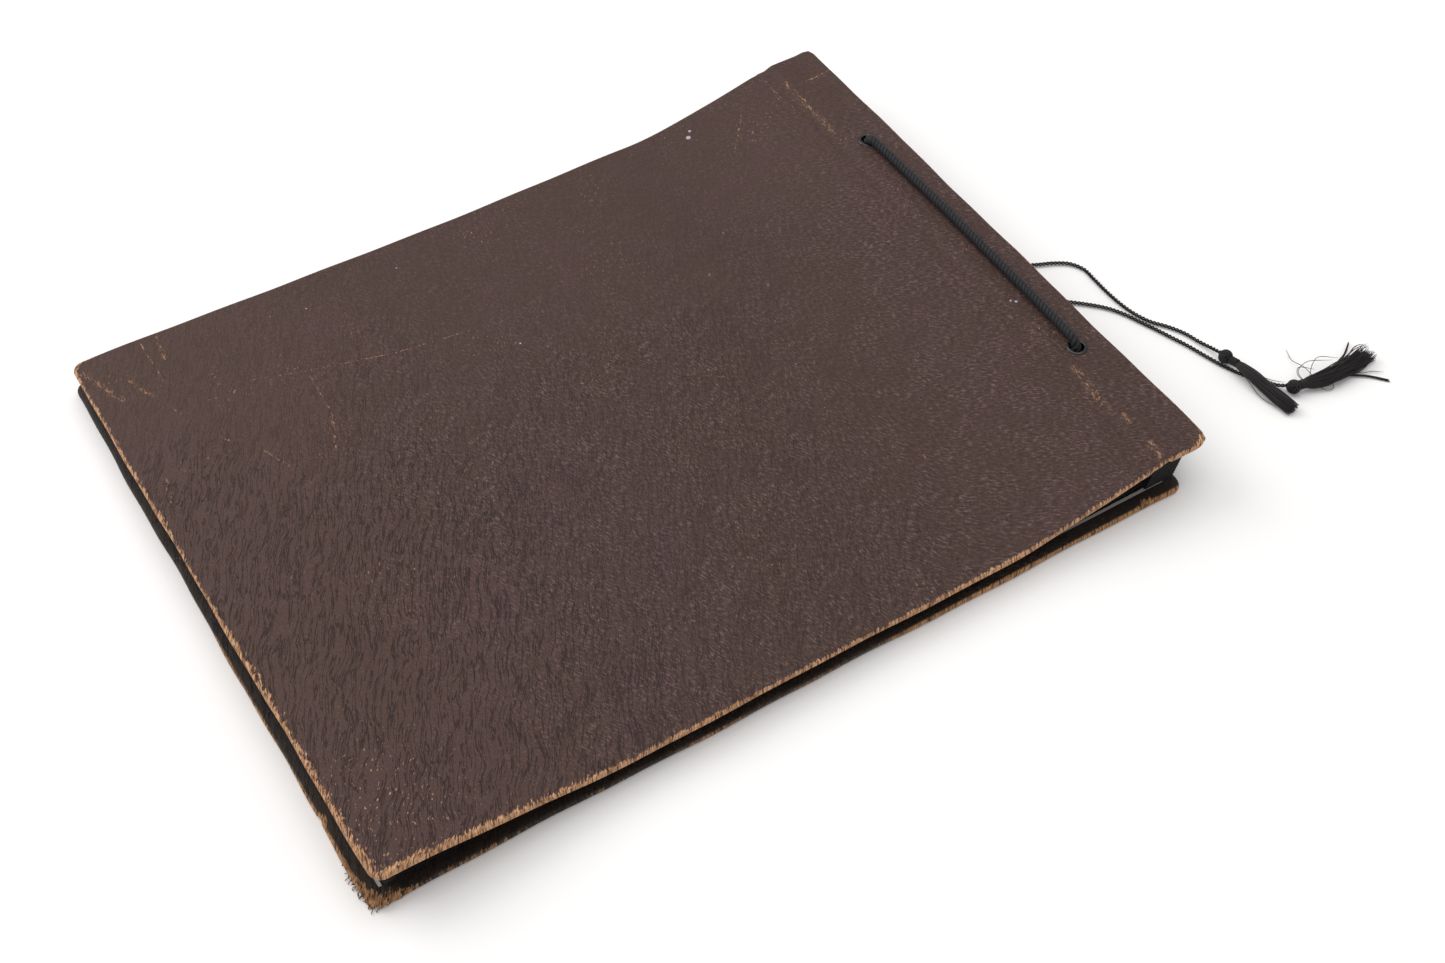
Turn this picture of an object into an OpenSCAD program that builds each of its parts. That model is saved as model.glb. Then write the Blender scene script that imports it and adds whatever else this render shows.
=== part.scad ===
// Cord-bound album: two leatherette covers, loose black leaves on binding
// edges, eyelets, a twisted binding cord and two tasselled tails.
// +X runs to the spine, +Y along the spine, +Z up. The origin is on the
// table under the middle of the covers. Millimetres.

/* [Covers] */
// Length of the front cover, from fore-edge to spine edge
cover_length = 356; // [300:1:430]
// Width of both covers, along the spine
cover_width = 278; // [210:1:340]
// How much shorter the back cover is than the front one
back_short = 6; // [2:1:7]
// How far the back cover stands out past the front one at the fore-edge
back_step = 2; // [0:0.5:2]
// Thickness of the boards
board_thick = 1.8; // [1.8:0.1:2.6]
// Thickness of the leatherette covering
covering_thick = 0.4; // [0.3:0.05:0.6]
// Thickness of the black paper that lines the covers
lining_thick = 0.4; // [0.3:0.05:0.6]
// Width of the covering's turned-in edge that shows round the lining
turn_in = 6; // [4:0.5:12]
// Radius of the covers' corners
corner_radius = 5; // [2:0.5:8]

/* [Front hinge] */
// Width of the narrow board that the eyelets are set in
strip_width = 19; // [17:0.5:26]
// Width of bare covering between the narrow board and the main board
crease_width = 8; // [6:0.5:12]
// Room left over the cord when the cover lies fully open on it
open_clearance = 0.5; // [0.3:0.1:2]

/* [Leaves] */
// Number of leaves drawn; the node list names sixteen
leaf_count = 16; // [16:1:16]
// Thickness of one leaf
leaf_thick = 0.3; // [0.2:0.05:0.4]
// Air between two leaves where the covers press them together
leaf_gap = 0.06; // [0.05:0.01:0.2]
// Distance from the covers' long edges to the leaves
leaf_inset = 5; // [3:0.5:12]
// Distance from the front cover's fore-edge to the top leaf
leaf_fore_inset = 10; // [6:0.5:20]
// Width of the scored zone that a leaf turns in
leaf_crease = 12; // [8:0.5:16]
// Thickness of the spacer strip glued to each leaf's binding edge
spacer_thick = 0.7; // [0.4:0.05:1]
// Air between two binding edges
binding_gap = 0.08; // [0.05:0.01:0.2]
// Distance from the punched holes to the leaves' spine edge
binding_margin = 7.8; // [6:0.1:9]
// Distance from the punched holes to the leaf's scored zone
binding_reach = 6; // [5:0.1:8]

/* [Shape of the bow] */
// How far the front cover curls up at the fore-edge
fore_curl = 7; // [0:0.5:10]
// Length of the curled part
curl_length = 85; // [60:1:120]
// Where the front cover starts to climb, from the spine edge
climb_start = 98; // [85:1:120]
// Where the climb ends, from the spine edge
climb_end = 6; // [0:1:15]

/* [Binding] */
// Distance of the holes from the front cover's spine edge
hole_inset = 12.8; // [11:0.1:14]
// Distance between the two holes
hole_spacing = 147; // [100:1:190]
// How far the stack has slipped, from the front holes to the back ones
stack_lean = 5; // [0:0.5:5]
// Diameter of the thick twisted cord
rope_d = 4.2; // [3:0.1:4.6]
// Diameter of the thin cord of the tails
tail_d = 1.6; // [1.2:0.1:1.6]
// Radial room between the thick cord and an eyelet's bore
eyelet_room = 0.65; // [0.3:0.05:0.8]
// Wall of an eyelet's barrel
eyelet_wall = 0.25; // [0.2:0.05:0.4]
// Width of an eyelet's flange beyond its barrel
eyelet_flange = 1.2; // [0.8:0.1:1.4]
// Thickness of an eyelet's flange
flange_thick = 0.45; // [0.3:0.05:0.5]
// Radial room between the thick cord and the leaves' punched holes
punch_room = 1.1; // [0.6:0.1:1.6]

/* [Tassels] */
// Diameter of the knot at the head of a tassel
head_d = 6; // [5:0.1:7]
// Diameter of the thread wrapped below the knot
wrap_d = 4.4; // [3.6:0.1:5]
// Length of the wrapped part
wrap_length = 3.4; // [2:0.1:5]
// Diameter of the tassel's open end
skirt_d = 6.4; // [5:0.1:8]
// Diameter of the knot that joins the two cords beside the back cover
knot_d = 5.8; // [4.5:0.1:6]

/* [Hidden] */

$fn = 48;
leatherette = "#3f302b";
black_paper = "#1b1b1d";
black_cord = "#101013";

// Thicknesses through one cover
cover_thick = covering_thick + board_thick + lining_thick;
inside_depth = covering_thick + board_thick;

// Plan of the covers
overall_length = cover_length + back_step;
back_fore_x = -overall_length / 2;
front_fore_x = back_fore_x + back_step;
spine_x = overall_length / 2;
back_spine_x = back_fore_x + cover_length - back_short;
half_width = cover_width / 2;
strip_x = spine_x - strip_width;
panel_x = strip_x - crease_width;
hinge_x = strip_x - crease_width / 2;

// Turned-over end of an eyelet, inside the cover
clinch_thick = 0.3;

// Heights of the front cover's outer face
binding_pitch = leaf_thick + spacer_thick + binding_gap;
middle_height = 2 * cover_thick + leaf_count * (leaf_thick + leaf_gap) + leaf_gap;
strip_height = 2 * (cover_thick + clinch_thick) + leaf_count * binding_pitch + binding_gap;

function ease(t) = let (c = min(max(t, 0), 1)) c * c * (3 - 2 * c);
function bow(x) = middle_height
    + fore_curl * (1 - ease((x - front_fore_x) / curl_length))
    + (strip_height - middle_height)
        * ease((x - spine_x + climb_start) / (climb_start - climb_end));

// The bow in straight steps, which every nested layer shares
bow_step = 9;
bow_count = ceil(overall_length / bow_step);
bow_table = [for (i = [0:bow_count]) let (x = back_fore_x + i * bow_step) [x, bow(x)]];
function cover_height(x) = lookup(x, bow_table);

// Holes, eyelets and the leaning stack
hole_x = spine_x - hole_inset;
back_hole_x = hole_x - stack_lean;
hole_ys = [-hole_spacing / 2, hole_spacing / 2];
bore_r = rope_d / 2 + eyelet_room;
barrel_r = bore_r + eyelet_wall;
flange_r = barrel_r + eyelet_flange;
clinch_width = 0.9;
clinch_r = barrel_r + clinch_width;
// The back eyelets' turned-over ends always reach over the edge of the turned-in covering
clinch_lap = 0.1;
back_clinch_r = max(clinch_r, back_spine_x - turn_in - back_hole_x + clinch_lap);
stack_top = strip_height - cover_thick - clinch_thick;
stack_bottom = cover_thick + clinch_thick;
function lean_at(z) =
    stack_lean * min(max((stack_top - z) / (stack_top - stack_bottom), 0), 1);

// Leaf number k counts from 0 at the top
function binding_z(k) =
    cover_thick + clinch_thick + binding_gap + (leaf_count - 1 - k) * binding_pitch;
function leaf_hole_x(k) = hole_x - lean_at(binding_z(k) + leaf_thick + spacer_thick / 2);
function binding_end_x(k) = leaf_hole_x(k) - binding_reach;
function leaf_start_x(k) = binding_end_x(k) - leaf_crease;
function leaf_fore_x(k) = leaf_hole_x(k) - (cover_length - hole_inset - leaf_fore_inset);
function leaf_share(k) = (leaf_count - 0.5 - k) / leaf_count;
function leaf_top(k, x) = cover_thick
    + leaf_share(k) * (cover_height(x) - 2 * cover_thick) + leaf_thick / 2;
leaf_half_width = half_width - leaf_inset;

// Thick cord over the strip
rope_r = rope_d / 2;
rope_z = strip_height + flange_thick + 0.05 + rope_r;
rope_bend_inside = 1.4;
rope_bend = rope_r + rope_bend_inside;
leg_slack = 0.2;
leg_lap = 0.4;
hinge_z = (rope_z + rope_r + open_clearance + cover_height(2 * hinge_x - hole_x)) / 2;

// Channel that the thin cord has pressed into the back cover
channel_depth = tail_d + 0.15;
channel_width = tail_d + 0.8;
flange_recess = tail_d + 0.15 + clinch_thick + 0.05;
tail_z = tail_d / 2 + 0.05;
exit_y = -10;
pair_offset = tail_d / 2 + 0.05;
knot_x = back_spine_x + knot_d / 2 + 0.4;

// Tail cords, as [distance past the spine edge, y, height of the centre]
tail_route_1 = [[-2.8, -9, 2.2], [0, -6, 1.2], [4, -4.5, 0.9], [9, -6, 0.9], [14, -8.5, 0.9],
    [19, -11, 0.9], [25.5, -14, 0.9], [31, -18, 0.9], [33.7, -23, 0.9], [33.8, -31, 0.9],
    [33.6, -39, 0.9], [33.9, -47, 0.9], [35.2, -55.5, 0.9], [38, -63, 0.9], [42.5, -69.5, 0.9],
    [45.8, -76, 0.9], [47.6, -83, 1.1], [49, -89, 1.9], [49.4, -93.8, 3.2]];
tail_route_2 = [[-2.8, -11, 2.2], [0, -16, 1.2], [4, -23, 0.9], [9.5, -29.5, 0.9],
    [16, -35.5, 0.9], [22, -41, 0.9], [27.5, -47, 0.9], [31.4, -53.5, 0.9], [34.2, -60.5, 0.9],
    [37, -67.5, 0.9], [39.5, -74.5, 0.9], [42.2, -82, 0.9], [44.5, -90, 0.9],
    [47, -98, 0.9], [50.3, -106, 0.9], [55, -114, 0.9], [58.6, -119.2, 1.6],
    [60.2, -121.8, 3]];
// Each tassel: head centre, skirt start and skirt end, in the same form
tassel_1 = [[49.4, -96.6, 3.4], [50, -102.6, 4.7], [54.8, -134, 3.6]];
tassel_2 = [[61.8, -124, 3.3], [68, -124.9, 3.1], [98, -127, 3.6]];

// ---- helpers ----

// The ends of a layer and the bow's own steps between them
function bow_steps(x0, x1) =
    concat([x0], [for (p = bow_table) if (p[0] > x0 + 0.01 && p[0] < x1 - 0.01) p[0]], [x1]);

// A sheet along Y whose section has its top at the given points
module sheet_along_y(tops, thick, half) {
    last = len(tops) - 1;
    unders = [for (i = [last:-1:0]) tops[i] - [0, thick]];
    rotate([90, 0, 0]) linear_extrude(height = 2 * half, center = true)
        polygon(concat(tops, unders));
}

// A slab that follows the bow: its top lies drop below the cover's outer face
module bowed_slab(x0, x1, drop, thick, half) {
    sheet_along_y([for (x = bow_steps(x0, x1)) [x, cover_height(x) - drop]], thick, half);
}

// A rectangle with rounded corners at its low-x or high-x end, or at both
module plan(x0, x1, half, r, round_low, round_high) {
    low = round_low ? r : 0;
    high = round_high ? r : 0;
    translate([x0 + low, -half]) square([x1 - x0 - low - high, 2 * half]);
    translate([x0, -half + r]) square([x1 - x0, 2 * half - 2 * r]);
    for (side = [-1, 1]) {
        if (round_low) translate([x0 + r, side * (half - r)]) circle(r);
        if (round_high) translate([x1 - r, side * (half - r)]) circle(r);
    }
}

module plan_prism(x0, x1, inset, z0, z1, round_low, round_high) {
    r = max(corner_radius - inset, 0.5);
    translate([0, 0, z0]) linear_extrude(z1 - z0)
        plan(x0 + (round_low ? inset : 0), x1 - (round_high ? inset : 0),
            half_width - inset, r, round_low, round_high);
}

module at_holes(x) {
    for (y = hole_ys) translate([x, y, 0]) children();
}

module hole_pins(x, r, z0, z1) {
    at_holes(x) translate([0, 0, z0]) cylinder(h = z1 - z0, r = r);
}

// Round bar from one point to another
module bar(a, b, r0, r1) {
    d = b - a;
    translate(a) rotate([0, acos(d[2] / norm(d)), atan2(d[1], d[0])])
        cylinder(h = norm(d), r1 = r0, r2 = r1);
}

// Rounded bar through a list of points
module thread(points, r) {
    for (i = [0:len(points) - 2]) bar(points[i], points[i + 1], r, r);
    for (i = [1:len(points) - 2]) translate(points[i]) sphere(r);
}

// Free cord: an eight-sided tube swept along a route
module swept_cord(route, d) {
    last = len(route) - 1;
    sides = 8;
    function heading(i) =
        let (v = route[min(i + 1, last)] - route[max(i - 1, 0)]) v / norm(v);
    rings = [for (i = [0:last])
        let (t = heading(i), s = cross([0, 0, 1], t), side = s / norm(s), up = cross(t, side))
        for (j = [0:sides - 1])
            let (a = 360 * (j + 0.5) / sides)
            route[i] + d / 2 * (cos(a) * side + sin(a) * up)];
    walls = [for (i = [0:last - 1]) for (j = [0:sides - 1])
        let (n = (j + 1) % sides)
        [i * sides + j, (i + 1) * sides + j, (i + 1) * sides + n, i * sides + n]];
    ends = [[for (j = [0:sides - 1]) j], [for (j = [sides - 1:-1:0]) last * sides + j]];
    polyhedron(points = rings, faces = concat(walls, ends), convexity = 6);
}

function from_spine(p) = [spine_x + p[0], p[1], p[2]];
function route_in_place(route) = [for (p = route) from_spine(p)];

// ---- front cover ----

module panel_layer(inset, drop, thick) {
    intersection() {
        bowed_slab(front_fore_x - 1, panel_x, drop, thick, half_width + 1);
        plan_prism(front_fore_x, panel_x, inset, 0, 2 * strip_height, true, false);
    }
}

module strip_layer(inset, drop, thick) {
    plan_prism(strip_x, spine_x, inset, strip_height - drop - thick, strip_height - drop,
        false, true);
}

module front_board() {
    color("#6b5844") panel_layer(covering_thick, covering_thick, board_thick);
}

module front_lining() {
    color(black_paper) panel_layer(turn_in, inside_depth, lining_thick);
}

module front_covering() {
    color(leatherette) difference() {
        panel_layer(0, 0, cover_thick);
        panel_layer(covering_thick, covering_thick, board_thick);
        panel_layer(turn_in, inside_depth, lining_thick);
    }
}

module front_strip_board() {
    color("#6b5844") difference() {
        strip_layer(covering_thick, covering_thick, board_thick);
        hole_pins(hole_x, barrel_r, 0, 2 * strip_height);
    }
}

module front_strip_lining() {
    color(black_paper) difference() {
        strip_layer(turn_in, inside_depth, lining_thick);
        hole_pins(hole_x, barrel_r, 0, 2 * strip_height);
    }
}

module front_strip_covering() {
    color(leatherette) difference() {
        strip_layer(0, 0, cover_thick);
        strip_layer(covering_thick, covering_thick, board_thick);
        strip_layer(turn_in, inside_depth, lining_thick);
        hole_pins(hole_x, barrel_r, 0, 2 * strip_height);
    }
}

// The covering and its lining cloth, bare of board, across the crease
module front_hinge_cloth() {
    color(leatherette)
        sheet_along_y([[panel_x, cover_height(panel_x)], [strip_x, strip_height]],
            2 * covering_thick, half_width);
}

// ---- back cover ----

module back_layer(inset, z0, thick) {
    plan_prism(back_fore_x, back_spine_x, inset, z0, z0 + thick, true, true);
}

module cord_channel() {
    reach = back_spine_x - back_hole_x + 1;
    branch = 2 * pair_offset + channel_width;
    translate([back_hole_x - channel_width / 2, hole_ys[0], -1])
        cube([channel_width, hole_spacing, channel_depth + 1]);
    translate([back_hole_x, exit_y - branch / 2, -1]) cube([reach, branch, channel_depth + 1]);
    hole_pins(back_hole_x, flange_r + 0.3, -1, flange_recess);
    hole_pins(back_hole_x, barrel_r, -1, cover_thick + 1);
}

module back_board() {
    color("#6b5844") difference() {
        back_layer(covering_thick, covering_thick, board_thick);
        cord_channel();
    }
}

module back_lining() {
    color(black_paper) difference() {
        back_layer(turn_in, inside_depth, lining_thick);
        hole_pins(back_hole_x, barrel_r, 0, cover_thick + 1);
    }
}

module back_covering() {
    color(leatherette) difference() {
        back_layer(0, 0, cover_thick);
        back_layer(covering_thick, covering_thick, board_thick);
        back_layer(turn_in, inside_depth, lining_thick);
        cord_channel();
    }
}

// ---- eyelets ----

// One eyelet from its flange's outer face at z = 0 down through the cover
module eyelet(length, flange, end_r) {
    rotate_extrude() union() {
        translate([bore_r, -length - clinch_thick]) square([eyelet_wall, length + clinch_thick]);
        translate([bore_r, 0]) square([flange_r - bore_r - flange / 2, flange]);
        translate([flange_r - flange / 2, flange / 2]) circle(d = flange, $fn = 24);
        translate([bore_r, -length - clinch_thick]) square([end_r - bore_r, clinch_thick]);
    }
}

module front_eyelets() {
    color("black") at_holes(hole_x) translate([0, 0, strip_height])
        eyelet(cover_thick, flange_thick, clinch_r);
}

module back_eyelets() {
    color("black") at_holes(back_hole_x) translate([0, 0, flange_recess]) rotate([180, 0, 0])
        eyelet(cover_thick - flange_recess, clinch_thick, back_clinch_r);
}

// ---- leaves ----

module binding_plate(k, z0, thick) {
    x0 = binding_end_x(k);
    x1 = leaf_hole_x(k) + binding_margin;
    difference() {
        translate([x0, -leaf_half_width, z0]) cube([x1 - x0, 2 * leaf_half_width, thick]);
        hole_pins(leaf_hole_x(k), rope_r + punch_room, z0 - 1, z0 + thick + 1);
    }
}

module leaf_binding_edges() {
    color(black_paper) for (k = [0:leaf_count - 1])
        binding_plate(k, binding_z(k) + spacer_thick, leaf_thick);
}

module leaf_spacers() {
    color("#242426") for (k = [0:leaf_count - 1])
        binding_plate(k, binding_z(k), spacer_thick);
}

module leaf_creases() {
    color(black_paper) for (k = [0:leaf_count - 1])
        sheet_along_y([[leaf_start_x(k), leaf_top(k, leaf_start_x(k))],
            [binding_end_x(k), binding_z(k) + spacer_thick + leaf_thick]],
            leaf_thick, leaf_half_width);
}

module leaf(k) {
    steps = bow_steps(leaf_fore_x(k), leaf_start_x(k));
    color(black_paper)
        sheet_along_y([for (x = steps) [x, leaf_top(k, x)]], leaf_thick, leaf_half_width);
}

// ---- cords ----

// One end of the thick cord: a bend over the strip, and a leg that is upright
// in both eyelets and leans, a little slacker, through the leaves between them
module rope_end() {
    top = rope_z - rope_bend;
    leg_end = tail_z - tail_d / 2;
    translate([hole_x, hole_spacing / 2 - rope_bend, top]) rotate([90, 0, 90])
        rotate_extrude(angle = 90) translate([rope_bend, 0]) circle(rope_r);
    translate([0, hole_spacing / 2, 0]) {
        translate([hole_x, 0, stack_top]) cylinder(h = top - stack_top, r = rope_r);
        bar([hole_x, 0, stack_top + leg_lap], [back_hole_x, 0, stack_bottom - leg_lap],
            rope_r - leg_slack, rope_r - leg_slack);
        translate([back_hole_x, 0, leg_end]) cylinder(h = stack_bottom - leg_end, r = rope_r);
    }
}

module binding_cord() {
    span = hole_spacing - 2 * rope_bend;
    color(black_cord) {
        translate([hole_x, span / 2, rope_z]) rotate([90, 0, 0]) cylinder(h = span, r = rope_r);
        rope_end();
        mirror([0, 1, 0]) rope_end();
    }
}

module under_cord(side) {
    y0 = exit_y + side * pair_offset;
    color(black_cord) thread([[back_hole_x, side * (hole_spacing / 2 - rope_r), tail_z],
        [back_hole_x, y0, tail_z], [knot_x - pair_offset, y0, tail_z]], tail_d / 2);
}

module cord_knot() {
    color(black_cord) difference() {
        translate([knot_x, exit_y, knot_d / 2]) sphere(d = knot_d);
        under_cord(1);
        under_cord(-1);
        tail_cord(tail_route_1);
        tail_cord(tail_route_2);
    }
}

module tail_cord(route) {
    color(black_cord) swept_cord(route_in_place(route), tail_d);
}

// ---- tassels ----

// The cord's end and the wrapping thread sink a little way into the head
module tassel_head(tassel) {
    color(black_cord) translate(from_spine(tassel[0])) sphere(d = head_d);
}

module tassel_wrap(tassel) {
    a = from_spine(tassel[1]);
    b = from_spine(tassel[0]);
    toward = (b - a) / norm(b - a);
    color(black_cord) bar(a, a + toward * wrap_length, wrap_d / 2, wrap_d / 2);
}

module tassel_skirt(tassel) {
    color(black_cord)
        bar(from_spine(tassel[1]), from_spine(tassel[2]), wrap_d / 2, skirt_d / 2);
}

front_board();
front_strip_board();
front_covering();
front_strip_covering();
front_hinge_cloth();
front_lining();
front_strip_lining();
back_board();
back_covering();
back_lining();
front_eyelets();
back_eyelets();
leaf_binding_edges();
leaf_spacers();
leaf_creases();
leaf(0);  // leaf_01
leaf(1);  // leaf_02
leaf(2);  // leaf_03
leaf(3);  // leaf_04
leaf(4);  // leaf_05
leaf(5);  // leaf_06
leaf(6);  // leaf_07
leaf(7);  // leaf_08
leaf(8);  // leaf_09
leaf(9);  // leaf_10
leaf(10);  // leaf_11
leaf(11);  // leaf_12
leaf(12);  // leaf_13
leaf(13);  // leaf_14
leaf(14);  // leaf_15
leaf(15);  // leaf_16
binding_cord();
under_cord(1);  // under_cord_far
under_cord(-1);  // under_cord_near
cord_knot();
tail_cord(tail_route_1);  // tail_cord_1
tail_cord(tail_route_2);  // tail_cord_2
tassel_head(tassel_1);  // tassel_head_1
tassel_head(tassel_2);  // tassel_head_2
tassel_wrap(tassel_1);  // tassel_wrap_1
tassel_wrap(tassel_2);  // tassel_wrap_2
tassel_skirt(tassel_1);  // tassel_skirt_1
tassel_skirt(tassel_2);  // tassel_skirt_2
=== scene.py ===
"""A cord-bound album: two leatherette covers, black leaves, eyelets and two tasselled cords.

Sizes are in millimetres until a mesh is made. +X runs to the spine, +Y along it, +Z up.
"""
import math

import bpy
import numpy as np
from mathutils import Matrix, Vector


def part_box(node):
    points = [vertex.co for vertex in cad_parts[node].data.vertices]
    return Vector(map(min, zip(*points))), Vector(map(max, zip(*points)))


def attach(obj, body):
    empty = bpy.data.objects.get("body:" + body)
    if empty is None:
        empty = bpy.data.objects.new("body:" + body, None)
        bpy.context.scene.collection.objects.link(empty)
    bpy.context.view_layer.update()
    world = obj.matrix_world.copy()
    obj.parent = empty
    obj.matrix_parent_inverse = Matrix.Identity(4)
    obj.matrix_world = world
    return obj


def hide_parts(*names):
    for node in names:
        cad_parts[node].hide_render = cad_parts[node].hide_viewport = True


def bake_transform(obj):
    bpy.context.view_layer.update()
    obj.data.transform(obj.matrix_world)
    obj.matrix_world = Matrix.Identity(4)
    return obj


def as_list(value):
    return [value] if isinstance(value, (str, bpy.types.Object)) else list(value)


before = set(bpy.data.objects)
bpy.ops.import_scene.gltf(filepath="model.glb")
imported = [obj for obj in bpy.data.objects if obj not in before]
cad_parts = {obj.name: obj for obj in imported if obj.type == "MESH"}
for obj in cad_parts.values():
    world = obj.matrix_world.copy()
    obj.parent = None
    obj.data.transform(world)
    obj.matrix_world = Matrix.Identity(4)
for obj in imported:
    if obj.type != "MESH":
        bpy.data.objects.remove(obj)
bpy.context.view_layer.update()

# ---- sizes that come from the frame ----

MM = 0.001


def box_mm(node):
    """Lowest and highest corner of a CAD node, in millimetres."""
    low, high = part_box(node)
    return np.array(low) / MM, np.array(high) / MM


panel_low, panel_high = box_mm("front_covering")
strip_low, strip_high = box_mm("front_strip_covering")
back_low, back_high = box_mm("back_covering")
eyelet_low, eyelet_high = box_mm("front_eyelets")
back_eyelet_low, back_eyelet_high = box_mm("back_eyelets")
stack_low = box_mm("leaf_spacers")[0]

fore_x, spine_x = panel_low[0], strip_high[0]
half_width = panel_high[1]
panel_x, strip_x = panel_high[0], strip_low[0]
strip_top = strip_high[2]
hole_x = (eyelet_low[0] + eyelet_high[0]) / 2
back_hole_x = (back_eyelet_low[0] + back_eyelet_high[0]) / 2
flange_r = (eyelet_high[0] - eyelet_low[0]) / 2
hole_y = eyelet_high[1] - flange_r

covering_thick = 0.4
cover_thick = 2.6
turn_in = 6.0
corner_r = 5.0
bore_r = 2.75
barrel_r = 3.0
hole_half = 2.9
rope_r = 2.1
strand_r = 0.92
leaf_count = 16

# The two plies of a thin cord: their radius, their distance off its line, and a whole turn
ply_r = 0.38
ply_offset = 0.46
ply_pitch = 3.3

# Where the thin cords meet the knot, and where the back cover's fore-edge has its worn notch
knot_y = -10
notch_y = -98.0


def ease(t):
    """0 below 0, 1 above 1, and 3t² - 2t³ between them."""
    t = np.clip(t, 0.0, 1.0)
    return t * t * (3 - 2 * t)


def bump(t):
    """1 at 0, falling smoothly to 0 at -1 and 1."""
    return np.clip(1 - np.square(t), 0, 1) ** 2


# ---- camera ----


def add_camera(azimuth, elevation, distance, target, lens):
    """Camera on a sphere round the target: azimuth 0 looks along +Y, elevation is above the table."""
    a, e = math.radians(azimuth), math.radians(elevation)
    back = Vector((math.sin(a) * math.cos(e), -math.cos(a) * math.cos(e), math.sin(e)))
    camera = bpy.data.objects.new("camera", bpy.data.cameras.new("camera"))
    camera.data.lens = lens
    camera.data.sensor_width = 36
    camera.data.clip_start = 0.01
    camera.location = Vector(target) + back * distance
    camera.rotation_mode = "QUATERNION"
    camera.rotation_quaternion = (-back).to_track_quat("-Z", "Y")
    bpy.context.scene.collection.objects.link(camera)
    bpy.context.scene.camera = camera


add_camera(-32.1, 50.19, 0.80967, (0.01514, -0.04806, 0.010), 52.27)

# ---- shader maths ----


class Socket:
    """One output of a material's nodes, with arithmetic as Python operators."""

    def __init__(self, paint, output):
        self.paint = paint
        self.output = output

    def math(self, operation, *others):
        return self.paint.node("Math", {"operation": operation}, [self, *others])

    def __add__(self, other):
        return self.math("ADD", other)

    def __sub__(self, other):
        return self.math("SUBTRACT", other)

    def __rsub__(self, other):
        return self.paint.node("Math", {"operation": "SUBTRACT"}, [other, self])

    def __mul__(self, other):
        return self.math("MULTIPLY", other)

    def __truediv__(self, other):
        return self.math("DIVIDE", other)

    __radd__ = __add__
    __rmul__ = __mul__


class Paint:
    def __init__(self, name):
        self.material = bpy.data.materials.new(name)
        self.material.use_nodes = True
        self.tree = self.material.node_tree
        self.shader = self.tree.nodes["Principled BSDF"]
        self.place = self.node("VectorMath", {"operation": "SCALE"}, {
            "Vector": self.node("TexCoord", {}, {}, "Object"), "Scale": 1 / MM})
        self.x, self.y, self.z = self.split(self.place)

    def node(self, kind, settings, inputs, output=0):
        """Adds a node: its settings first, then each input as a number, a colour or a link."""
        made = self.tree.nodes.new("ShaderNode" + kind)
        for key, value in settings.items():
            setattr(made, key, value)
        pairs = inputs.items() if isinstance(inputs, dict) else enumerate(inputs)
        for key, value in pairs:
            if isinstance(value, Socket):
                self.tree.links.new(value.output, made.inputs[key])
            else:
                made.inputs[key].default_value = value
        return Socket(self, made.outputs[output])

    def split(self, vector):
        """The three numbers of a vector."""
        made = self.node("SeparateXYZ", {}, [vector]).output.node
        return [Socket(self, made.outputs[i]) for i in range(3)]

    def vector(self, x, y, z):
        return self.node("CombineXYZ", {}, [x, y, z])

    def noise(self, vector, scale, detail=2.0, roughness=0.5):
        """Noise from 0 to 1, with scale in features a millimetre."""
        return self.node("TexNoise", {}, {
            "Vector": vector, "Scale": scale, "Detail": detail, "Roughness": roughness})

    def step(self, value, low, high):
        """0 below low, 1 above high, and smooth between; low may be the higher number."""
        return self.node("MapRange", {"interpolation_type": "SMOOTHSTEP"}, {
            "Value": value, "From Min": low, "From Max": high})

    def mix(self, amount, first, second):
        """first where amount is 0, second where it is 1."""
        return self.node("Mix", {"data_type": "RGBA"}, {0: amount, 6: first, 7: second}, 2)

    def finish(self, colour, roughness, fixed, height=None, bump_mm=0.1):
        """Links colour, roughness and height to the shader, and sets the fixed numbers on its sockets."""
        for name, value in (("Base Color", colour), ("Roughness", roughness)):
            if isinstance(value, Socket):
                self.tree.links.new(value.output, self.shader.inputs[name])
            else:
                self.shader.inputs[name].default_value = value
        if height is not None:
            normal = self.node("Bump", {}, {
                "Height": height, "Distance": bump_mm * MM, "Strength": 1.0})
            self.tree.links.new(normal.output, self.shader.inputs["Normal"])
        for name, value in fixed.items():
            self.shader.inputs[name].default_value = value
        return self.material


def shade(red, green, blue):
    """A linear colour from the usual 0 to 255 screen numbers."""
    screen = np.array([red, green, blue]) / 255
    linear = np.where(screen <= 0.04045, screen / 12.92, ((screen + 0.055) / 1.055) ** 2.4)
    return (*linear.tolist(), 1.0)


# ---- materials ----


def edge_distance(paint, box):
    """Distance in from a rounded rectangle's outline.

    With a and b the distances past the corner's centre along each axis, the outline is r from that
    centre: the distance is r - length(max(a, 0), max(b, 0)) - min(max(a, b), 0).
    """
    x0, x1, y0, y1 = box
    a = (paint.x - (x0 + x1) / 2).math("ABSOLUTE") - ((x1 - x0) / 2 - corner_r)
    b = (paint.y - (y0 + y1) / 2).math("ABSOLUTE") - ((y1 - y0) / 2 - corner_r)
    out_a, out_b = a.math("MAXIMUM", 0.0), b.math("MAXIMUM", 0.0)
    corner = (out_a * out_a + out_b * out_b).math("SQRT")
    inner = a.math("MAXIMUM", b).math("MINIMUM", 0.0)
    return corner_r - corner - inner, a.math("LESS_THAN", b)


def near_point(paint, x, y, size):
    """1 at a place on the cover, falling to 0 at size millimetres from it."""
    dx, dy = paint.x - x, paint.y - y
    return paint.step((dx * dx + dy * dy).math("SQRT"), size, 0.0)


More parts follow.
